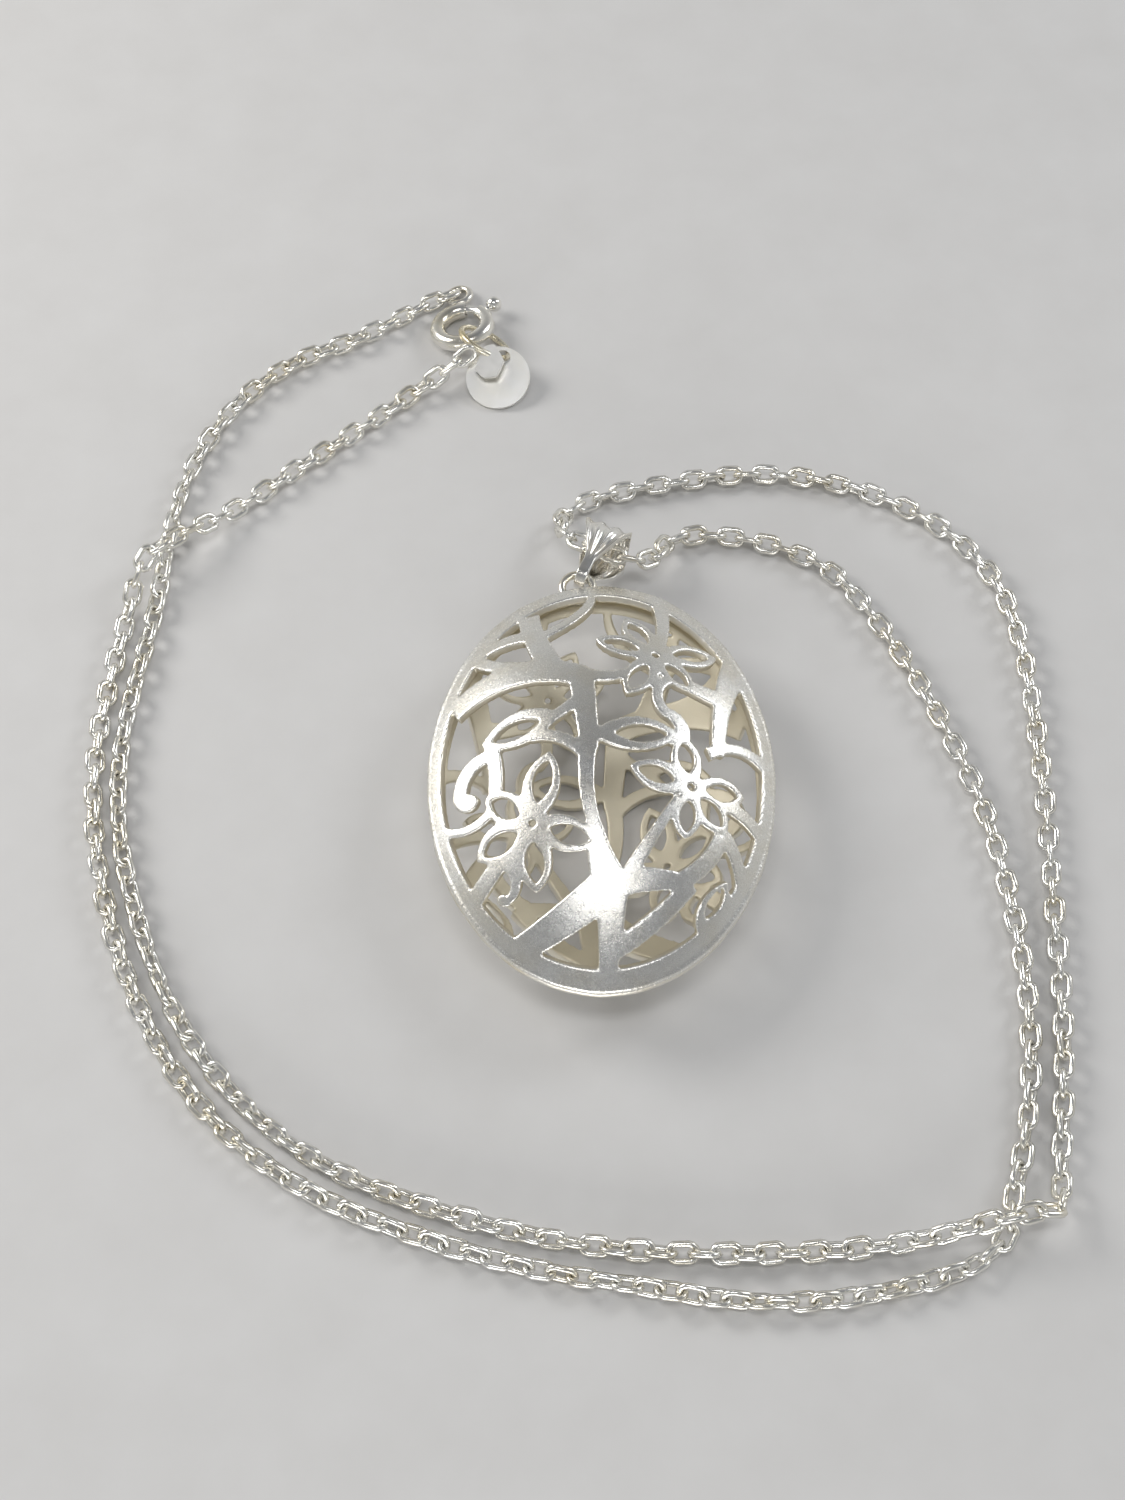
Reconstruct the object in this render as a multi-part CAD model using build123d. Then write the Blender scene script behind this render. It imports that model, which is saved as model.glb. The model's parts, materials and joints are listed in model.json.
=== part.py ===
"""Pendant necklace: an openwork puffed oval pendant on a fluted bail and a cable
chain, closed by a spring ring clasp with an end ring and two blank tags.

Millimetres, +Z up. The necklace lies on z = 0. The pendant hangs towards -Y.
Both domes are pierced with one pattern: a small tree with flowers, leaves and curls.
"""
import os
from math import atan, cos, pi, radians, sin, sqrt, tan

from build123d import *

os.makedirs("parts", exist_ok=True)

# ---- pendant -----------------------------------------------------------
pendant_y = -3.385         # centre of the oval; x is 0
half_width = 12.1
half_length = 16.0
seam_z = 4.9              # the plane where the two domes meet
rim_height = 0.5          # straight rim of each dome
rim_wall = 0.6
dome_rise = 4.4           # dome above its rim
sheet = 0.55
focal_drop = 12.0         # the pierced walls point at a spot this far below the seam
pattern_rise = 4.0        # the pattern is drawn this far above the seam

# ---- eye and bail -------------------------------------------------------
lean = radians(24)        # the bail leans to the right of +Y
droop = radians(20)       # and drops from the eye towards the table
hinge = Vector(-1.15, 17.2 + pendant_y, seam_z)   # wire centre inside the bail
eye_mean = 1.15
eye_wire = 0.3            # wire radius
bail_wall = 0.5
bail_top_radius = 2.2
bail_tip_radius = 1.0
bail_reach = 3.4          # from the hinge to the centre of the upper bend
bail_top_width = 3.7
bail_tip_width = 0.84

# ---- chain --------------------------------------------------------------
chain_radius = 0.825
table = 0.83              # height of a tube centre lying on the table
over = 2.75               # height where one strand lies on another

# ---- clasp, end ring, tags ---------------------------------------------
clasp_centre = Vector(-10.95, 44.03 + pendant_y, 1.17)
clasp_mean = 2.05
clasp_tube = 0.64         # radius
clasp_bore = 0.42
clasp_tilt = radians(13.5)  # the side with the end ring is propped up on it
ring_bearing = radians(-47)     # where the end ring sits round the clasp
gap_start, gap_end = 50, 85     # degrees round the clasp
slot_width = 0.62
slot_start = 2            # degrees; clear of the knob's stem at full travel
slot_end = 64
tongue_radius = 0.36
knob_radius = 0.65
knob_reach = 3.48
eye_reach = 3.86          # the eye is soldered on the outside of the tube
end_ring_mean = 2.15
end_ring_wire = 0.25
ring_lean = radians(50)   # how far the end ring leans over from upright
ring_offset = 0.85        # from the clasp's tube centre to the end ring's centre
tag_radius = 2.6
tag_sheet = 0.32
tag_hole = 0.62           # radius
tag_hole_offset = 1.7
tag_lean = radians(20.3)
lozenge_length = 2.8
lozenge_width = 2.0
lozenge_sheet = 0.35
lozenge_lean = radians(25)

# The chain's route, from the clasp through the bail to the end ring.
route = [
    (-11.6, 44.5, 0.83), (-13.6, 43.6, table), (-16.4, 41.6, table), (-19.9, 39.4, table),
    (-24.3, 37.5, table), (-28.2, 34.1, table), (-31.3, 29.1, table), (-33.0, 23.2, table),
    (-33.4, 17.7, table), (-33.7, 12.7, table), (-34.6, 7.2, table), (-35.2, 1.2, table),
    (-34.7, -5.1, table), (-33.2, -10.5, table), (-31.0, -16.3, table), (-27.9, -21.7, table),
    (-23.6, -26.5, table), (-18.3, -30.2, table), (-11.8, -32.7, table), (-4.0, -34.9, table),
    (4.0, -35.8, table), (12.0, -35.8, table), (19.5, -35.2, table), (24.9, -34.2, over),
    (28.0, -33.5, over), (29.9, -33.2, 1.9), (30.1, -30.9, table), (30.9, -25.9, table),
    (31.7, -18.8, table), (31.9, -10.8, table), (32.2, -2.8, table), (32.2, 5.2, table),
    (31.8, 11.7, table), (30.3, 16.9, table), (26.5, 21.5, table), (20.8, 24.7, table),
    (14.0, 26.3, table), (7.0, 25.5, table), (2.0, 24.4, table), (-1.2, 23.3, table),
    (-3.1, 21.3, 1.3), (-2.3, 18.3, 3.3), (2.7, 16.1, 3.3), (4.6, 17.2, 2.4),
    (5.1, 19.3, 1.2), (8.0, 20.5, table), (13.0, 19.6, table), (17.4, 17.7, table),
    (20.6, 13.5, table), (23.5, 7.9, table), (25.9, 2.3, table), (27.9, -3.9, table),
    (29.0, -11.1, table), (29.4, -17.8, table), (29.0, -23.8, table), (27.9, -29.0, table),
    (26.8, -32.2, table), (26.4, -34.6, table), (24.3, -36.5, table), (20.3, -37.8, table),
    (14.5, -38.9, table), (8.5, -38.9, table), (2.5, -37.9, table), (-4.5, -36.9, table),
    (-12.3, -34.7, table), (-19.2, -32.0, table), (-25.0, -28.1, table), (-29.5, -23.0, table),
    (-32.8, -17.1, table), (-35.1, -10.8, table), (-36.6, -4.5, table), (-37.0, 1.8, table),
    (-36.4, 8.2, table), (-35.7, 13.0, table), (-34.8, 17.0, over), (-32.0, 19.1, over),
    (-28.4, 22.4, table), (-23.5, 26.8, table), (-18.3, 30.9, table), (-14.6, 34.2, table),
    (-12.3, 35.6, 1.65), (-10.0, 36.8, 2.75),
]


def outline(points):
    """Face from corner points (x, y, bulge). A bulge above 0 swells outwards."""
    area = 0
    for (x0, y0, _), (x1, y1, _) in zip(points, points[1:] + points[:1]):
        area += x0 * y1 - x1 * y0
    side = -1 if area > 0 else 1
    edges = []
    for start, end in zip(points, points[1:] + points[:1]):
        first, last = Vector(start[0], start[1]), Vector(end[0], end[1])
        if abs(start[2]) > 0.01:
            edges.append(SagittaArc(first, last, side * start[2]))
        else:
            edges.append(Line(first, last))
    return make_face(edges)


# ---- pattern of the domes: (x, y) from the oval's centre, seen from above -----
window_half_width = 11.3   # the pierced part; outside it the stamping is plain
window_half_length = 14.8
flower_middle = 1.0
flower_hole = 0.26
hollow_start, hollow_end = 0.27, 0.87   # where a leaf is pierced, from its root
hollow_share = 0.52        # width of the hollow in a leaf of width 1
least_opening = 0.12       # square millimetres; smaller gaps stay closed

# Flowers: middle, petal width, and the tip of each petal.
flowers = [
    ((3.9, 8.4), 2.3, [(-0.4, 9.8), (1.8, 12.1), (8.4, 9.3), (6.5, 5.5), (1.7, 4.6)]),
    ((-4.8, -5.2), 2.7, [(-3.6, 0), (-8.1, -2.9), (-8.6, -7.2), (-4.5, -9.9), (-0.4, -6.9)]),
    ((6.1, -2.4), 2.4, [(5.6, 1.4), (1.9, -1.2), (9.9, -2.4), (5.6, -6.2), (8.6, -5.2)]),
]
# Leaves: root, tip and width.
leaves = [
    ((-2.8, 3.0), (-8.4, 1.2), 2.8),
    ((-0.8, 1.2), (5.4, 1.5), 2.7),
    ((6.4, -12.2), (8.5, -8.5), 2.3),
]
# Trunk, roots, boughs and tendrils: three places along each, then both end widths.
branches = [
    ((-1.5, 6.6), (-1.1, 3), (-0.9, 0), 1.9, 1.3),
    ((-0.9, 0.5), (-1.1, -2.5), (-0.4, -6), 1.3, 0.9),
    ((-0.5, -5.5), (-0.2, -7.5), (0.7, -9.8), 0.9, 2.6),
    ((0.6, -9), (0.5, -12), (0.3, -15.2), 2.4, 1.2),
    ((0.5, -9.5), (-2.4, -11.4), (-5.6, -13.3), 2.6, 1.8),
    ((0.8, -13.6), (3.5, -11.6), (6, -9.1), 1.3, 1.1),
    ((0.8, -9.5), (3, -9), (5.3, -9.1), 2.0, 1.2),
    ((4.8, -9.3), (6.8, -7.9), (8.2, -5.6), 1.2, 1.1),
    ((8.3, -5.4), (9.4, -7.3), (9.5, -10.6), 1.1, 1.2),
    ((1.6, -9.1), (3.1, -6.5), (5.2, -3.3), 1.1, 0.6),
    ((7.4, 0.4), (9.6, 1.3), (12, 0), 1.0, 1.1),
    ((8.4, -3.2), (10.3, -4.1), (11.9, -6), 1.1, 1.2),
    ((10, 8.8), (8.6, 5.6), (8.1, 0.4), 2.4, 0.9),
    ((5.6, 6.2), (7, 5.6), (8.8, 5.2), 0.9, 1.4),
    ((6, 6.2), (3.9, 5.1), (4.8, 3), 0.9, 0.9),
    ((4.5, 3.3), (5.6, 2.3), (5.3, 0.6), 0.9, 1.2),
    ((4.4, 14), (4.5, 11), (4.1, 8.6), 1.1, 0.7),
    ((-1, 6.1), (-5, 6.9), (-10.5, 4.8), 1.8, 1.7),
    ((-1.6, 6.6), (0.2, 6.1), (2.3, 6.8), 1.1, 0.8),
    ((-3.2, 6.6), (-4.3, 9), (-5.2, 12.8), 1.9, 1.6),
    ((-4.5, 7.4), (-7.2, 7.9), (-9.4, 10), 1.2, 1.2),
    ((-4.4, 10.4), (-6.6, 10.6), (-8.9, 9.6), 1.1, 0.9),
    ((-4.3, 10.4), (-1.9, 11.7), (-0.6, 15), 0.7, 0.6),
    ((-1.2, 4.7), (-2.4, 3.5), (-4, 2.4), 1.0, 0.8),
    ((-4.9, 1.3), (-2.8, 1), (-1, -0.7), 0.8, 1.0),
    ((-7.9, 1.7), (-7.4, 0), (-7.4, -3), 1.0, 1.0),
    ((-7.5, 0.3), (-9.5, -0.6), (-9.9, -2.4), 1.0, 1.0),
    ((-9.9, -2.2), (-9.6, -3.1), (-9, -3.1), 1.0, 0.9),
    ((-12, -3.7), (-9.7, -4.9), (-7.4, -3.6), 1.0, 0.9),
    ((-6, -6.4), (-7.6, -8.3), (-9.7, -10.8), 1.1, 1.4),
    ((-6.6, -7.6), (-5.8, -8.9), (-6.6, -10.2), 0.9, 0.7),
]
curls = [((-9.2, -2.9), 0.65), ((-6.7, -10.1), 0.5)]   # middle and radius of each curl's end


def dome_height(x, y):
    """Height of the dome's outside above (x, y), from the seam."""
    depth = (half_width**2 - dome_rise**2) / (2 * dome_rise)
    bend = (half_length**2 + dome_rise**2) / (2 * dome_rise)
    radius = depth + dome_rise - bend + sqrt(bend**2 - min(abs(y), half_length)**2)
    return rim_height + max(sqrt(max(radius**2 - x**2, 0)) - depth, 0)


def spread(x, y):
    """How much larger a place is drawn on the pattern's plane, seen from the focal point."""
    return (focal_drop + pattern_rise) / (focal_drop + dome_height(x, y))


def drawn(corners):
    """Outline on the pattern's plane of corners (x, y, bulge) given as seen from above."""
    placed = []
    for x, y, bulge in corners:
        factor = spread(x, y)
        placed.append((x * factor, y * factor, bulge * factor))
    return outline(placed)


def leaf(root, tip, width):
    return [(*root, width / 2), (*tip, width / 2)]


def hollow(root, tip, width):
    ends = [[r + (t - r) * share for r, t in zip(root, tip)] for share in (hollow_start, hollow_end)]
    return leaf(ends[0], ends[1], width * hollow_share)


def disc(middle, radius):
    return leaf((middle[0] - radius, middle[1]), (middle[0] + radius, middle[1]), 2 * radius)


def branch(start, middle, end, first_width, last_width):
    """Curved strip through three places; each side is one arc."""
    start, middle, end = Vector(*start), Vector(*middle), Vector(*end)
    sides = []
    for sign in (1, -1):
        rails = []
        for place, way, width in ((start, middle - start, first_width),
                                  (middle, end - start, (first_width + last_width) / 2),
                                  (end, end - middle, last_width)):
            normal = Vector(-way.Y, way.X).normalized() * sign
            rails.append(place + normal * (width / 2))
        chord = (rails[2] - rails[0]).normalized()
        bulge = (rails[1] - rails[0]).dot(Vector(-chord.Y, chord.X) * sign)
        sides.append((rails[0], rails[2], bulge))
    left, right = sides
    return [(left[0].X, left[0].Y, left[2]), (left[1].X, left[1].Y, 0),
            (right[1].X, right[1].Y, right[2]), (right[0].X, right[0].Y, 0)]


def pattern():
    """Openings of one dome on the pattern's plane, one face each."""
    wide = window_half_width * spread(window_half_width, 0)
    long = window_half_length * spread(0, window_half_length)
    metal = [branch(*spec) for spec in branches] + [disc(*spec) for spec in curls]
    pierced = list(leaves)
    holes = []
    for middle, width, tips in flowers:
        metal.append(disc(middle, flower_middle))
        holes.append(disc(middle, flower_hole))
        pierced += [(middle, tip, width) for tip in tips]
    metal += [leaf(*spec) for spec in pierced]
    holes += [hollow(*spec) for spec in pierced]
    between = Ellipse(wide, long) - [drawn(corners) for corners in metal]
    return between.faces() + [drawn(corners) for corners in holes]


def piercing(opening):
    """Cutter for one opening; its walls lean in towards the focal point."""
    layers = []
    for height in (rim_height - 0.4, rim_height + dome_rise + 0.6):
        factor = (focal_drop + height) / (focal_drop + pattern_rise)
        layers.append(Pos(0, 0, height) * scale(opening, by=factor))
    return loft(layers, ruled=True)


def dome_shell():
    """Plain dome with its rim on z = 0: a bent sheet turned about an axis along Y."""
    depth = (half_width**2 - dome_rise**2) / (2 * dome_rise)
    bend = (half_length**2 + dome_rise**2) / (2 * dome_rise)
    angle = atan(half_length / sqrt(bend**2 - half_length**2))
    middle = depth + dome_rise - bend
    corners = []
    for radius, turn in ((bend, -angle), (bend, 0), (bend, angle),
                         (bend - sheet, angle), (bend - sheet, 0), (bend - sheet, -angle)):
        corners.append(Vector(0, radius * sin(turn), middle + radius * cos(turn)))
    profile = make_face([
        ThreePointArc(corners[0], corners[1], corners[2]),
        Line(corners[2], corners[3]),
        ThreePointArc(corners[3], corners[4], corners[5]),
        Line(corners[5], corners[0]),
    ])
    barrel = revolve(profile, Axis.Y, 360)
    barrel = Pos(0, 0, rim_height - depth) * barrel
    oval = Ellipse(half_width - 0.1, half_length - 0.1)
    core = Pos(0, 0, rim_height - 0.05) * extrude(oval, dome_rise + 1)
    rim = extrude(Ellipse(half_width, half_length), rim_height)
    rim -= extrude(Ellipse(half_width - rim_wall, half_length - rim_wall), rim_height)
    return (barrel & core) + rim


def pierced_dome():
    openings = pattern()
    print("openings", len(openings), "smallest", round(min(face.area for face in openings), 2))
    return dome_shell() - [piercing(opening) for opening in openings if opening.area > least_opening]


def ring(plane, mean, wire):
    return plane * Torus(mean, wire)


def bail_loop(tip, top):
    """Drop-shaped face round both bends, seen along the chain."""
    slope = (top - tip) / bail_reach
    rise = sqrt(1 - slope**2)
    low, high = (-tip * slope, tip * rise), (bail_reach - top * slope, top * rise)
    return make_face([
        ThreePointArc(low, (-tip, 0), (low[0], -low[1])),
        Line((low[0], -low[1]), (high[0], -high[1])),
        ThreePointArc((high[0], -high[1]), (bail_reach + top, 0), high),
        Line(high, low),
    ])


def make_bail():
    along = Vector(sin(lean) * cos(droop), cos(lean) * cos(droop), -sin(droop))
    across = Vector(cos(lean), -sin(lean), 0)
    side_plane = Plane(origin=hinge, x_dir=along, z_dir=across)
    loop = bail_loop(bail_tip_radius, bail_top_radius)
    loop -= bail_loop(bail_tip_radius - bail_wall, bail_top_radius - bail_wall)
    band = side_plane * extrude(loop, bail_top_width, both=True)
    tip, top = bail_tip_width / 2, bail_top_width / 2
    end = bail_reach + bail_top_radius
    shield = outline([
        (-tip, -1.2, 0), (tip, -1.2, 0), (tip, 0.9, 0), (top, 4.3, 0.1), (top - 0.5, end + 0.3, 0),
        (0.5 - top, end + 0.3, 0.1), (-top, 4.3, 0), (-tip, 0.9, 0),
    ])
    front = Plane(origin=hinge, x_dir=across, z_dir=across.cross(along))
    return band & (front * extrude(shield, 6, both=True))


def chain_path():
    """Straight runs joined by arcs; returns the wire and the smallest arc radius."""
    points = [Vector(*point) for point in route]
    edges, radii = [], []
    start = points[0]
    for before, corner, after in zip(points, points[1:], points[2:]):
        inward = (corner - before).normalized()
        outward = (after - corner).normalized()
        turn = radians(inward.get_angle(outward))
        reach = 0.45 * min((corner - before).length, (after - corner).length)
        radii.append(reach / tan(turn / 2))
        arc_start, arc_end = corner - inward * reach, corner + outward * reach
        toward = (outward - inward).normalized()
        middle = corner + toward * (radii[-1] / cos(turn / 2) - radii[-1])
        edges.append(Line(start, arc_start))
        edges.append(ThreePointArc(arc_start, middle, arc_end))
        start = arc_end
    edges.append(Line(start, points[-1]))
    return Wire(edges), radii


def make_chain():
    path, radii = chain_path()
    print("chain length", round(path.length, 1), "radii", [round(radius, 1) for radius in radii])
    section = Plane(origin=path @ 0, z_dir=path % 0) * Circle(chain_radius)
    tube = sweep(section, path=path)
    expected = pi * chain_radius**2 * path.length
    print("chain volume", round(tube.volume, 2), "section x length", round(expected, 2))
    return tube


def arc_rod(radius, first, last):
    """Curved rod of the clasp between two angles in degrees."""
    swept = revolve(Plane.XZ * Pos(clasp_mean, 0, 0) * Circle(radius), Axis.Z, last - first)
    return Rot(0, 0, first) * swept


ring_way = Vector(cos(ring_bearing), sin(ring_bearing), 0)
ring_side = Vector(-sin(ring_bearing), cos(ring_bearing), 0)
clasp_normal = Vector(0, 0, 1) * cos(clasp_tilt) - ring_way * sin(clasp_tilt)
clasp_plane = Plane(origin=clasp_centre, x_dir=Vector(0, 1, 0).cross(clasp_normal), z_dir=clasp_normal)


def make_clasp_body():
    tube = arc_rod(clasp_tube, gap_end, 360 + gap_start)
    tube -= arc_rod(clasp_bore, gap_end - 1, gap_end + 10)
    tube -= arc_rod(clasp_bore, 190, 360 + gap_start + 1)
    slot = revolve(Plane.XZ * Pos(clasp_mean + 1, 0, 0) * Rectangle(2, slot_width), Axis.Z, slot_end - slot_start)
    return clasp_plane * (tube - Rot(0, 0, slot_start) * slot)


def make_trigger():
    knob_angle = gap_start - 6
    rod = arc_rod(tongue_radius, knob_angle - 40, gap_end + 8)
    stem = Plane.YZ * Cylinder(0.2, knob_reach - clasp_mean, align=(Align.CENTER, Align.CENTER, Align.MIN))
    knob = Pos(knob_reach, 0, 0) * Sphere(knob_radius)
    return clasp_plane * (rod + Rot(0, 0, knob_angle) * (Pos(clasp_mean, 0, 0) * stem + knob))


def make_spring():
    """Return spring in the clasp's bore, drawn pressed together as when the clasp is open."""
    points = []
    turns, first, last = 9, 200, 324
    for step in range(turns * 8 + 1):
        share = step / (turns * 8)
        spin = 2 * pi * turns * share
        bearing = radians(first + (last - first) * share)
        out = clasp_mean + 0.29 * cos(spin)
        points.append(Vector(out * cos(bearing), out * sin(bearing), 0.29 * sin(spin)))
    coil = Spline(*points)
    return clasp_plane * sweep(Plane(origin=coil @ 0, z_dir=coil % 0) * Circle(0.08), path=coil)


ring_centre = clasp_centre + ring_way * (clasp_mean * cos(clasp_tilt) + ring_offset)
ring_centre += Vector(0, 0, clasp_mean * sin(clasp_tilt))
ring_normal = ring_side * cos(ring_lean) + Vector(0, 0, 1) * sin(ring_lean)
ring_plane = Plane(origin=ring_centre, x_dir=ring_way, z_dir=ring_normal)
tag_point = ring_centre + ring_way * end_ring_mean


def leaning_plane(origin, way, angle):
    """Plane whose x axis runs down the given way at an angle below level."""
    flat = Vector(*way).normalized()
    return Plane(origin=origin, x_dir=flat * cos(angle) - Vector(0, 0, sin(angle)),
                 z_dir=flat * sin(angle) + Vector(0, 0, cos(angle)))


tag_plane = leaning_plane(tag_point, (-0.25, -0.97, 0), tag_lean)


def make_round_tag():
    disc = Pos(tag_hole_offset, 0, 0) * Cylinder(tag_radius, tag_sheet) - Cylinder(tag_hole, 1)
    return tag_plane * disc


def make_lozenge():
    place = radians(-25)
    at = ring_plane.from_local_coords(Vector(cos(place), sin(place), 0) * end_ring_mean)
    plane = leaning_plane(at, (-0.47, -0.88, 0), lozenge_lean)
    half, wide = lozenge_length / 2, lozenge_width / 2
    shape = outline([
        (-half, -0.3, 0.05), (0.5 - half, -wide, 0.05), (half - 0.4, 0.1 - wide, 0.08),
        (half, wide - 0.9, 0.05), (half - 0.5, wide, 0.03), (0.9 - half, wide, 0.05),
    ])
    lift = end_ring_wire + lozenge_sheet / 2 - 0.05
    return plane * Pos(0.6, 0, lift) * extrude(shape, lozenge_sheet / 2, both=True)


def save(shape, name):
    shape.label = name
    export_step(shape, f"parts/{name}.step")
    box = shape.bounding_box()
    print(f"{name:14s} volume {shape.volume:9.3f}  solids {len(shape.solids())}  "
          f"x {box.min.X:.2f} {box.max.X:.2f}  y {box.min.Y:.2f} {box.max.Y:.2f}  "
          f"z {box.min.Z:.2f} {box.max.Z:.2f}")


eye_plane = Plane(origin=hinge - Vector(sin(lean), cos(lean), 0) * eye_mean)
pendant_eye = ring(eye_plane, eye_mean, eye_wire)
dome = pierced_dome()
front_dome = Pos(0, pendant_y, seam_z) * dome - pendant_eye
back_dome = Pos(0, pendant_y, seam_z) * Rot(0, 180, 0) * dome - pendant_eye
clasp_body = make_clasp_body()
eye_bearing = radians(gap_end + 12)
eye_place = Pos(eye_reach * cos(eye_bearing), eye_reach * sin(eye_bearing), 0.08)
clasp_eye = clasp_plane * eye_place * Torus(0.9, 0.3)

save(front_dome, "front_dome")
save(back_dome, "back_dome")
save(pendant_eye, "pendant_eye")
save(make_bail(), "bail")
save(make_chain(), "chain")
save(clasp_body, "clasp_body")
save(clasp_eye, "clasp_eye")
save(make_spring(), "clasp_spring")
save(make_trigger(), "clasp_trigger")
save(ring(ring_plane, end_ring_mean, end_ring_wire), "end_ring")
save(make_round_tag(), "round_tag")
save(make_lozenge(), "lozenge_tag")
print("pendant hinge", [round(value, 3) for value in hinge])
print("clasp centre", [round(value, 3) for value in clasp_centre])
print("clasp axis", [round(value, 4) for value in clasp_normal])
print("tag hinge", [round(value, 3) for value in tag_point])
print("tag axis", [round(value, 4) for value in tag_plane.z_dir])
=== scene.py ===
# Openwork pendant necklace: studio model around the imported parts
import json
import math
import random

import bpy
import bmesh
from mathutils import Matrix, Vector


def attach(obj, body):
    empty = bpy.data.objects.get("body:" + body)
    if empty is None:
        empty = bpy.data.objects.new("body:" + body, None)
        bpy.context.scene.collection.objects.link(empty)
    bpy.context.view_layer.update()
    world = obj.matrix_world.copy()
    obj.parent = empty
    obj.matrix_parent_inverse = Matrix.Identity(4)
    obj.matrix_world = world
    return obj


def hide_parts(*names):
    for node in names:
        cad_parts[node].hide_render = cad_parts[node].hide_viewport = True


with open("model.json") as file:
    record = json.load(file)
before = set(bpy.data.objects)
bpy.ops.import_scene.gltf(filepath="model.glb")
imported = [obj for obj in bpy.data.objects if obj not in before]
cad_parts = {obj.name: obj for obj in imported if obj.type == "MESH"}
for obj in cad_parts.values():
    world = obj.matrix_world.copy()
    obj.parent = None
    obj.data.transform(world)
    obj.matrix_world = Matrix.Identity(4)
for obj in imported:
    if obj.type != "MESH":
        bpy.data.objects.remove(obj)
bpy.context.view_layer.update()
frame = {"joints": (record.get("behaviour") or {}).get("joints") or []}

mm = 0.001
pendantMiddle = Vector((0, -3.385, 4.9)) * mm
swing = next(joint for joint in frame["joints"] if joint['name'] == 'pendant_swing')
hinge = Vector(swing['pos_m'])   # where the pendant's eye turns in the bail
random.seed(7)


# selection, modifiers and copies
def deselectAll():
    if bpy.context.object and bpy.context.object.mode != 'OBJECT':
        bpy.ops.object.mode_set(mode='OBJECT')
    bpy.ops.object.select_all(action='DESELECT')


def makeActive(obj):
    deselectAll()
    obj.select_set(True)
    bpy.context.view_layer.objects.active = obj
    return obj


def applyModifier(obj, kind, **settings):
    makeActive(obj)
    modifier = obj.modifiers.new(kind.lower(), kind)
    for name, value in settings.items():
        setattr(modifier, name, value)
    bpy.ops.object.modifier_apply(modifier=modifier.name)


def copyOfNode(name, newName):
    source = bpy.data.objects[name]
    obj = bpy.data.objects.new(newName, source.data.copy())
    obj.data.materials.clear()
    bpy.context.collection.objects.link(obj)
    makeActive(obj)
    bpy.ops.object.mode_set(mode='EDIT')
    bpy.ops.mesh.select_all(action='SELECT')
    bpy.ops.mesh.remove_doubles(threshold=1e-6)
    bpy.ops.object.mode_set(mode='OBJECT')
    return obj


def smoothShade(obj, angle=None):
    makeActive(obj)
    if angle is None:
        bpy.ops.object.shade_smooth()
    else:
        bpy.ops.object.shade_smooth_by_angle(angle=math.radians(angle))


# shader maths and nodes
class Wire:
    # wraps a socket, so that maths on it adds Math nodes
    def __init__(self, graph, socket):
        self.graph = graph
        self.socket = socket

    def maths(self, operation, other):
        return self.graph.node('ShaderNodeMath', {'operation': operation}, {0: self, 1: other})

    def __add__(self, other):
        return self.maths('ADD', other)

    def __mul__(self, other):
        return self.maths('MULTIPLY', other)

    __radd__ = __add__   # the order doesn't matter in either
    __rmul__ = __mul__


class Graph:
    def __init__(self, name):
        self.material = bpy.data.materials.new(name)
        self.material.use_nodes = True
        self.tree = self.material.node_tree
        self.shader = next(n for n in self.tree.nodes if n.type == 'BSDF_PRINCIPLED')

    def node(self, kind, settings=None, inputs=None, output=0):
        made = self.tree.nodes.new(kind)
        for name, value in (settings or {}).items():
            if name == 'stops':
                ramp = made.color_ramp
                while len(ramp.elements) < len(value):
                    ramp.elements.new(0.5)
                for element, (place, colour) in zip(ramp.elements, value):
                    element.position = place
                    element.color = (*colour, 1)
            else:
                setattr(made, name, value)
        for key, value in (inputs or {}).items():
            self.feed(made.inputs[key], value)
        return Wire(self, made.outputs[output])

    def feed(self, socket, value):
        if isinstance(value, Wire):
            self.tree.links.new(value.socket, socket)
        else:
            socket.default_value = value

    def place(self):
        return self.node('ShaderNodeTexCoord', output='Object')

    def noise(self, scale, detail=3, roughness=0.55, vector=None):
        return self.node('ShaderNodeTexNoise', {}, {
            'Vector': vector or self.place(), 'Scale': scale, 'Detail': detail, 'Roughness': roughness})

    def ramp(self, value, *stops):
        return self.node('ShaderNodeValToRGB', {'stops': stops}, {'Fac': value})

    def mixColour(self, factor, first, second):
        made = self.tree.nodes.new('ShaderNodeMix')
        made.data_type = 'RGBA'
        self.feed(made.inputs[0], factor)
        for socket, value in ((made.inputs[6], first), (made.inputs[7], second)):
            self.feed(socket, value if isinstance(value, Wire) else (*value, 1))
        return Wire(self, made.outputs[2])

    def attribute(self, name):
        return self.node('ShaderNodeAttribute', {'attribute_name': name}, output='Fac')

    def bump(self, height, strength, distance=0.00005):
        return self.node('ShaderNodeBump', {}, {'Height': height, 'Strength': strength, 'Distance': distance})

    def finish(self, **sockets):
        for name, value in sockets.items():
            key = name.replace('_', ' ')
            if isinstance(value, tuple) and len(value) == 3:
                value = (*value, 1)
            self.feed(self.shader.inputs[key], value)
        return self.material


metal = {'brushWay': (0.25, 1.4, 1.0), 'scratchScale': 26000, 'cloudScale': 2400, 'filmScale': 380,
         'cloudRough': 0.12, 'scratchRough': 0.06, 'insideRough': 0.22}


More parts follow.
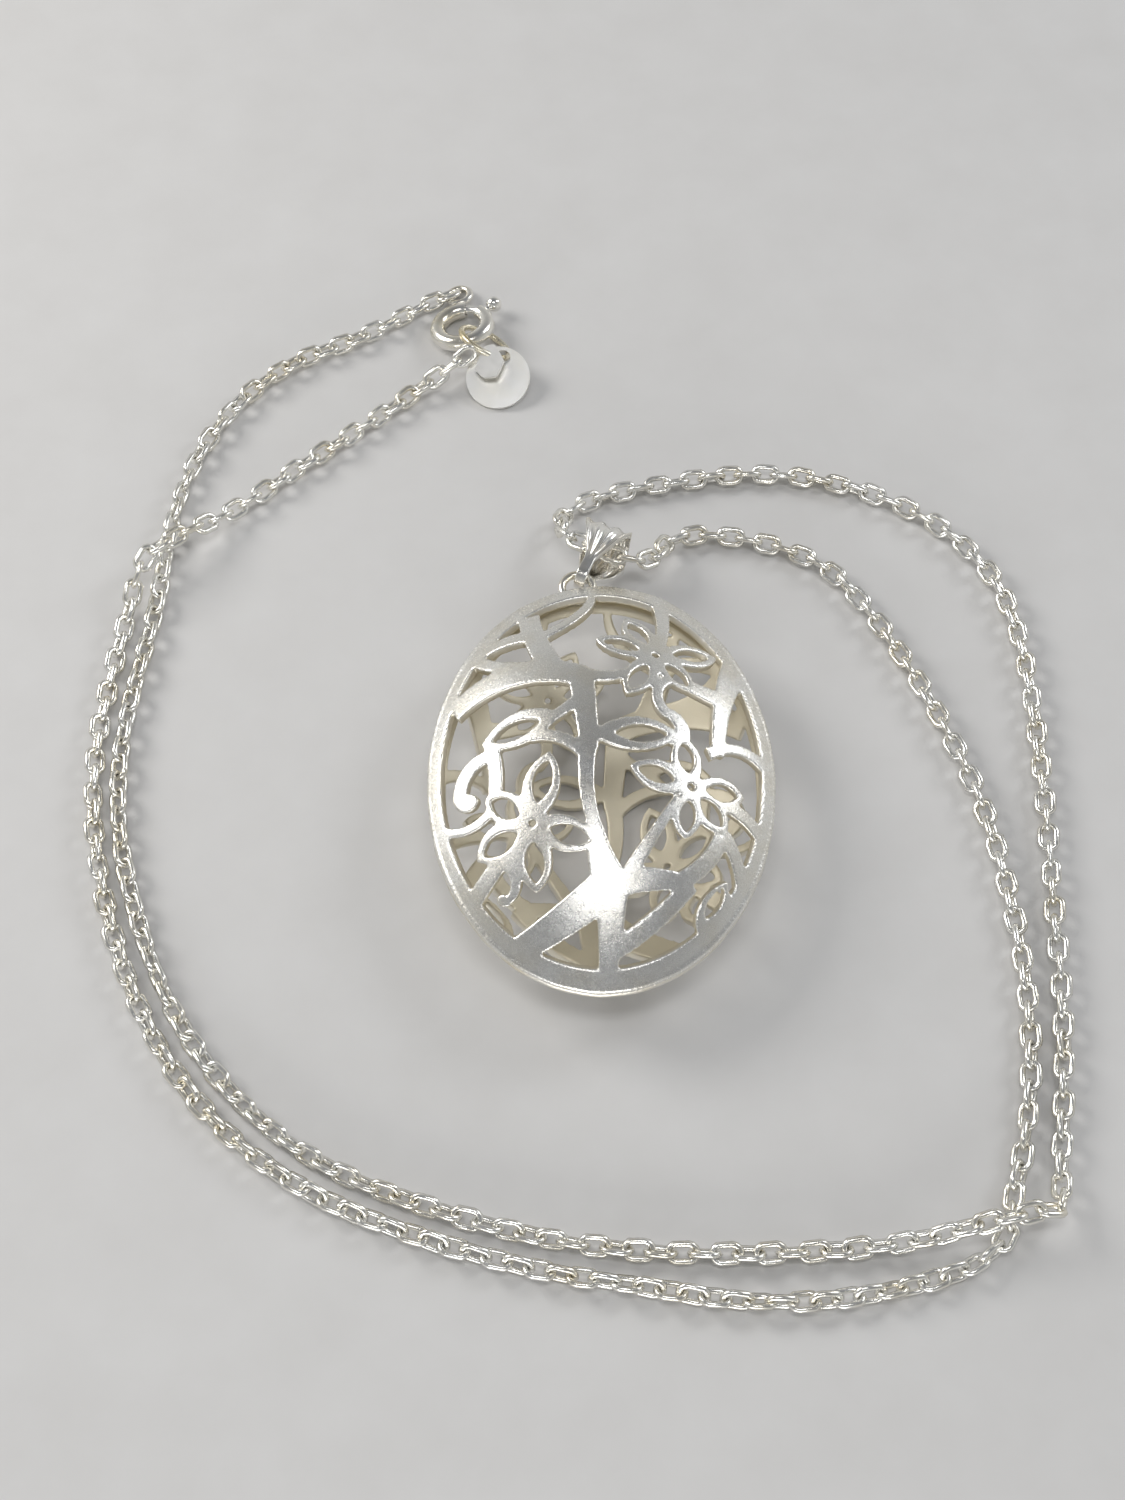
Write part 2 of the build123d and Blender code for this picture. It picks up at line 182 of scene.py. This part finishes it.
def silver(name, tone, shade, rough, brushing, paintedShade=None, attribute=None):
    # polished metal with fine scratches, cloudy wear and a warm film; where an attribute is given, painted
    # shade darkens and warms the faces that turn into the hollows
    g = Graph(name)
    stretched = g.node('ShaderNodeMapping', {}, {'Vector': g.place(), 'Scale': metal['brushWay']})
    scratches = g.noise(metal['scratchScale'], 2, 0.7, stretched)
    cloud = g.noise(metal['cloudScale'], 4, 0.65)
    film = g.noise(metal['filmScale'], 3, 0.5)
    filmMask = g.ramp(film, (0.42, (0, 0, 0)), (0.68, (1, 1, 1)))
    colour = g.mixColour(filmMask, tone, shade)
    roughness = cloud * metal['cloudRough'] + (rough - 0.05) + scratches * metal['scratchRough']
    if attribute:
        # painted shade: the faces turned into the hollow get a darker, warmer colour, and more roughness
        inside = g.attribute(attribute)
        colour = g.mixColour(inside, colour, paintedShade)
        roughness = roughness + inside * metal['insideRough']
    height = scratches * 0.5 + cloud * 0.7
    return g.finish(Base_Color=colour, Roughness=roughness, Metallic=1.0,
                    Normal=g.bump(height, brushing))


view = {'place': (-2.727, -71.18, 134.89), 'tilt': 28.4, 'lens': 49.92, 'nearest': 5}


def makeCamera(spec):
    bpy.ops.object.camera_add(location=[v * mm for v in spec['place']],
                              rotation=(math.radians(spec['tilt']), 0, 0))
    camera = bpy.context.object
    camera.data.lens = spec['lens']
    camera.data.clip_start = spec['nearest'] * mm
    camera.data.dof.use_dof = False
    bpy.context.scene.camera = camera
    print('camera set')


makeCamera(view)


table = 0.83   # height of the chain's middle where it lies flat
over = 2.75    # and where it crosses itself
chain = {
    'route': [
        (-11.6, 44.5, 0.83), (-13.6, 43.6, table), (-16.4, 41.6, table), (-19.9, 39.4, table),
        (-24.3, 37.5, table), (-28.2, 34.1, table), (-31.3, 29.1, table), (-33.0, 23.2, table),
        (-33.4, 17.7, table), (-33.7, 12.7, table), (-34.6, 7.2, table), (-35.2, 1.2, table),
        (-34.7, -5.1, table), (-33.2, -10.5, table), (-31.0, -16.3, table), (-27.9, -21.7, table),
        (-23.6, -26.5, table), (-18.3, -30.2, table), (-11.8, -32.7, table), (-4.0, -34.9, table),
        (4.0, -35.8, table), (12.0, -35.8, table), (19.5, -35.2, table), (24.9, -34.2, over),
        (28.0, -33.5, over), (29.9, -33.2, 1.9), (30.1, -30.9, table), (30.9, -25.9, table),
        (31.7, -18.8, table), (31.9, -10.8, table), (32.2, -2.8, table), (32.2, 5.2, table),
        (31.8, 11.7, table), (30.3, 16.9, table), (26.5, 21.5, table), (20.8, 24.7, table),
        (14.0, 26.3, table), (7.0, 25.5, table), (2.0, 24.4, table), (-1.2, 23.3, table),
        (-3.1, 21.3, 1.3), (-2.3, 18.3, 3.3), (2.7, 16.1, 3.3), (4.6, 17.2, 2.4),
        (5.1, 19.3, 1.2), (8.0, 20.5, table), (13.0, 19.6, table), (17.4, 17.7, table),
        (20.6, 13.5, table), (23.5, 7.9, table), (25.9, 2.3, table), (27.9, -3.9, table),
        (29.0, -11.1, table), (29.4, -17.8, table), (29.0, -23.8, table), (27.9, -29.0, table),
        (26.8, -32.2, table), (26.4, -34.6, table), (24.3, -36.5, table), (20.3, -37.8, table),
        (14.5, -38.9, table), (8.5, -38.9, table), (2.5, -37.9, table), (-4.5, -36.9, table),
        (-12.3, -34.7, table), (-19.2, -32.0, table), (-25.0, -28.1, table), (-29.5, -23.0, table),
        (-32.8, -17.1, table), (-35.1, -10.8, table), (-36.6, -4.5, table), (-37.0, 1.8, table),
        (-36.4, 8.2, table), (-35.7, 13.0, table), (-34.8, 17.0, over), (-32.0, 19.1, over),
        (-28.4, 22.4, table), (-23.5, 26.8, table), (-18.3, 30.9, table), (-14.6, 34.2, table),
        (-12.3, 35.6, 1.65), (-10.0, 36.8, 2.75),
    ],
    'wire': 0.23, 'length': 2.35, 'width': 1.65, 'pitch': 1.43,
    'around': 14, 'section': 6, 'lay': 38, 'wobble': 16,
}


def nurbsLine(points):
    curve = bpy.data.curves.new('routeLine', 'CURVE')
    curve.dimensions = '3D'
    curve.resolution_u = 24
    spline = curve.splines.new('NURBS')
    spline.points.add(len(points) - 1)
    for point, place in zip(spline.points, points):
        point.co = (*[v * mm for v in place], 1)
    spline.order_u = 3
    spline.use_endpoint_u = True
    obj = bpy.data.objects.new('routeLine', curve)
    bpy.context.collection.objects.link(obj)
    mesh = bpy.data.meshes.new_from_object(obj.evaluated_get(bpy.context.evaluated_depsgraph_get()))
    line = [v.co.copy() for v in mesh.vertices]
    bpy.data.objects.remove(obj)
    bpy.data.meshes.remove(mesh)
    return line


def evenPoints(line, step):
    # places along the line a fixed arc length apart, each with its direction
    lengths = [0.0]
    for before, after in zip(line, line[1:]):
        lengths.append(lengths[-1] + (after - before).length)
    count = round(lengths[-1] / step)
    found, at = [], 0
    for index in range(count):
        target = (index + 0.5) * lengths[-1] / count
        while lengths[at + 1] < target:
            at += 1
        share = (target - lengths[at]) / (lengths[at + 1] - lengths[at])
        found.append((line[at].lerp(line[at + 1], share), (line[at + 1] - line[at]).normalized()))
    return found, lengths[-1]


def linkShape(spec):
    # one oval link about the origin, long side on X, as rings of points
    bend = (spec['width'] / 2 - spec['wire']) * mm
    straight = (spec['length'] / 2 - spec['width'] / 2) * mm
    rows = []
    for step in range(spec['around']):
        angle = 2 * math.pi * (step + 0.5) / spec['around']
        outward = Vector((math.cos(angle), math.sin(angle), 0))
        centre = Vector((math.copysign(straight, math.cos(angle)) + bend * math.cos(angle),
                         bend * math.sin(angle), 0))
        row = []
        for turn in range(spec['section']):
            spin = 2 * math.pi * turn / spec['section']
            way = outward * math.cos(spin) + Vector((0, 0, 1)) * math.sin(spin)
            row.append(centre + way * spec['wire'] * mm)
        rows.append(row)
    return rows


def makeChain(spec, name):
    line = nurbsLine(spec['route'])
    places, total = evenPoints(line, spec['pitch'] * mm)
    rows = linkShape(spec)
    work = bmesh.new()
    side = Vector((0, 0, 1))
    for index, (place, way) in enumerate(places):
        side = (side - way * side.dot(way)).normalized()
        roll = math.radians(spec['lay'] + 90 * (index % 2) + random.uniform(-1, 1) * spec['wobble'])
        up = Matrix.Rotation(roll, 3, way) @ side
        turn = Matrix((way, up.cross(way), up)).transposed()
        rings = [[work.verts.new(place + turn @ point) for point in row] for row in rows]
        for ring, following in zip(rings, rings[1:] + rings[:1]):
            for a, b in zip(range(len(ring)), list(range(1, len(ring))) + [0]):
                work.faces.new((ring[a], ring[b], following[b], following[a]))
    bmesh.ops.recalc_face_normals(work, faces=work.faces)
    mesh = bpy.data.meshes.new(name)
    work.to_mesh(mesh)
    work.free()
    obj = bpy.data.objects.new(name, mesh)
    bpy.context.collection.objects.link(obj)
    smoothShade(obj)
    print('chain', len(places), 'links', round(total, 4), 'm')
    return obj, line, total


chainLinks, chainLine, chainLength = makeChain(chain, 'chain_links')
chainLinks.data.materials.append(silver('chainSilver', (0.90, 0.89, 0.85), (0.84, 0.80, 0.70), 0.2, 0.15))
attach(chainLinks, 'necklace')
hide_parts('chain')


dome = {'voxel': 0.1, 'smoothing': 3, 'thinning': 0.64, 'focalDrop': 12.0, 'halfWidth': 12.1,
        'halfLength': 16.0, 'rimFrom': 0.985, 'beadHeight': 0.55, 'bead': 0.16, 'unevenness': 0.05,
        'waves': (11, 27), 'bailRoom': 3.6, 'bailFade': 2, 'facing': 1.1}


def makeDome(node, name, facing, material):
    obj = copyOfNode(node, name)
    applyModifier(obj, 'REMESH', mode='VOXEL', voxel_size=dome['voxel'] * mm)
    applyModifier(obj, 'SMOOTH', factor=0.5, iterations=dome['smoothing'])
    # a rounded bead runs round the rim, a little uneven where it was soldered
    for vertex in obj.data.vertices:
        local = vertex.co - pendantMiddle
        share = facing * local.z / mm / dome['beadHeight']
        flat = Vector((local.x / dome['halfWidth'], local.y / dome['halfLength'], 0)) / mm
        if 0 < share < 1 and flat.length > dome['rimFrom']:
            bearing = math.atan2(flat.y, flat.x)
            slow, quick = dome['waves']
            wave = math.sin(bearing * slow) + math.sin(bearing * quick + 1)
            swell = dome['bead'] * math.sin(math.pi * share) + dome['unevenness'] * wave * share * (1 - share)
            away = (vertex.co - hinge).length / mm
            room = min(1, max(0, (away - dome['bailRoom']) / dome['bailFade']))   # no bead by the bail
            vertex.co += flat.normalized() * swell * room * mm
    applyModifier(obj, 'DECIMATE', ratio=dome['thinning'])
    # how far each point faces away from the outside of the dome; this mask places the painted shade on the
    # faces turned into the hollow
    focus = pendantMiddle - Vector((0, 0, facing * dome['focalDrop'] * mm))
    inside = obj.data.attributes.new('inside', 'FLOAT', 'POINT')
    values = []
    for vertex in obj.data.vertices:
        outward = (vertex.co - focus).normalized()
        values.append(min(1, max(0, 0.5 - dome['facing'] * vertex.normal.dot(outward))))
    inside.data.foreach_set('value', values)
    obj.data.materials.append(material)
    smoothShade(obj)
    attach(obj, 'pendant')
    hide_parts(node)
    obj.data.calc_loop_triangles()
    print(name, len(obj.data.loop_triangles), 'triangles')


# the last colour given to each dome's silver is painted shade for the faces turned into the hollow
frontSilver = silver('domeSilver', (0.88, 0.87, 0.84), (0.84, 0.81, 0.74), 0.23, 0.32,
                     (0.78, 0.72, 0.58), 'inside')
# the back dome's silver is a darker, warmer copy of the front dome's: painted shade on the dome that lies
# under the front one
backSilver = silver('backSilver', (0.82, 0.80, 0.75), (0.76, 0.71, 0.60), 0.3, 0.3,
                    (0.80, 0.75, 0.62), 'inside')
makeDome('front_dome', 'dome_front', 1, frontSilver)
makeDome('back_dome', 'dome_back', -1, backSilver)


bail = {'lean': 24, 'droop': 20, 'voxel': 0.07, 'smoothing': 4, 'flutes': 3, 'depth': 0.24,
        'tipWidth': 0.42, 'topWidth': 1.85, 'widensFrom': 0.9, 'widensOver': 3.4,
        'flutesFrom': 0.6, 'flutesOver': 1.6}


def makeBail(spec):
    obj = copyOfNode('bail', 'bail_fluted')
    applyModifier(obj, 'REMESH', mode='VOXEL', voxel_size=spec['voxel'] * mm)
    applyModifier(obj, 'SMOOTH', factor=0.5, iterations=spec['smoothing'])
    lean = math.radians(spec['lean'])
    droop = math.radians(spec['droop'])
    across = Vector((math.cos(lean), -math.sin(lean), 0))
    along = Vector((math.sin(lean) * math.cos(droop), math.cos(lean) * math.cos(droop), -math.sin(droop)))
    moves = []
    for vertex in obj.data.vertices:
        local = vertex.co - hinge
        reach = local.dot(along) / mm
        widened = min(1, max(0, (reach - spec['widensFrom']) / spec['widensOver']))
        width = spec['tipWidth'] + (spec['topWidth'] - spec['tipWidth']) * widened
        share = local.dot(across) / mm / width
        fade = min(1, max(0, (reach - spec['flutesFrom']) / spec['flutesOver']))
        wave = 0.5 - 0.5 * math.cos(2 * math.pi * spec['flutes'] * 0.5 * (share + 1))
        flat = 1 - abs(vertex.normal.dot(across))
        moves.append(vertex.normal * (-spec['depth'] * wave * fade * flat * mm))
    for vertex, move in zip(obj.data.vertices, moves):
        vertex.co += move
    obj.data.materials.append(silver('bailSilver', (0.90, 0.89, 0.86), (0.83, 0.78, 0.68), 0.16, 0.15))
    smoothShade(obj)
    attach(obj, 'necklace')
    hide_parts('bail')
    print('bail', len(obj.data.polygons), 'faces')


makeBail(bail)

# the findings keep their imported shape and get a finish
finishes = {
    'pendant_eye': silver('eyeSilver', (0.88, 0.86, 0.80), (0.80, 0.74, 0.60), 0.2, 0.15),
    'clasp_body': silver('claspSilver', (0.90, 0.88, 0.83), (0.84, 0.79, 0.66), 0.18, 0.15),
    'clasp_eye': silver('claspEyeSilver', (0.90, 0.88, 0.83), (0.84, 0.79, 0.66), 0.18, 0.15),
    'clasp_trigger': silver('triggerSilver', (0.92, 0.91, 0.88), (0.86, 0.83, 0.76), 0.14, 0.1),
    'clasp_spring': silver('springSteel', (0.45, 0.45, 0.46), (0.36, 0.36, 0.38), 0.3, 0.3),
    'end_ring': silver('ringSilver', (0.82, 0.78, 0.66), (0.72, 0.63, 0.42), 0.24, 0.2),
    'round_tag': silver('tagSilver', (0.95, 0.94, 0.91), (0.92, 0.90, 0.84), 0.3, 0.06),
    'lozenge_tag': silver('lozengeSilver', (0.95, 0.94, 0.91), (0.92, 0.90, 0.84), 0.3, 0.06),
}
for node, material in finishes.items():
    obj = bpy.data.objects[node]
    obj.data.materials.clear()
    obj.data.materials.append(material)
    smoothShade(obj, 40)
print('findings finished')


def makeFloor():
    bpy.ops.mesh.primitive_plane_add(size=0.9, location=(0, 0, 0))
    floor = bpy.context.object
    floor.name = 'floor'
    floor.data.transform(Matrix.Translation((0, 0, -0.00002)))
    g = Graph('paleFloor')
    grain = g.noise(160, 4, 0.6)
    colour = g.mixColour(grain, (0.62, 0.61, 0.60), (0.69, 0.685, 0.68))
    floor.data.materials.append(g.finish(Base_Color=colour, Roughness=0.65))


def softBox(name, place, aim, size, power, colour=(1, 1, 1)):
    bpy.ops.object.light_add(type='AREA', location=[v * mm for v in place])
    lamp = bpy.context.object
    lamp.name = name
    lamp.data.shape = 'RECTANGLE'
    lamp.data.size = size[0] * mm
    lamp.data.size_y = size[1] * mm
    lamp.data.energy = power
    lamp.data.color = colour
    lamp.rotation_euler = (Vector(aim) * mm - lamp.location).to_track_quat('-Z', 'Y').to_euler()


surround = {'walls': (0.95, 0.95, 0.92, 1), 'wallsTo': 0.1, 'ceiling': (0.26, 0.27, 0.29, 1),
            'ceilingFrom': 0.95, 'strength': 0.6}


def makeSurround(spec):
    # bright walls under a darker ceiling, which the metal mirrors
    world = bpy.data.worlds.new('studio')
    world.use_nodes = True
    nodes = world.node_tree.nodes
    links = world.node_tree.links
    direction = nodes.new('ShaderNodeTexCoord')
    split = nodes.new('ShaderNodeSeparateXYZ')
    shades = nodes.new('ShaderNodeValToRGB')
    low, high = shades.color_ramp.elements
    low.position = spec['wallsTo']
    low.color = spec['walls']
    high.position = spec['ceilingFrom']
    high.color = spec['ceiling']
    links.new(direction.outputs['Generated'], split.inputs[0])
    links.new(split.outputs['Z'], shades.inputs['Fac'])
    links.new(shades.outputs['Color'], nodes['Background'].inputs['Color'])
    nodes['Background'].inputs['Strength'].default_value = spec['strength']
    bpy.context.scene.world = world
    bpy.context.scene.view_settings.view_transform = 'Standard'


makeFloor()
softBox('leftLight', (-220, 120, 170), (0, 0, 0), (130, 130), 0.42, (1, 0.98, 0.95))
softBox('rightLight', (220, 140, 180), (0, 0, 0), (90, 110), 0.2, (0.95, 0.97, 1))
softBox('frontLight', (-40, -260, 60), (0, 0, 0), (220, 50), 0.25)
softBox('overheadLight', (0, -42, 300), (0, -5, 0), (120, 55), 0.16)
makeSurround(surround)
print('stage lit')
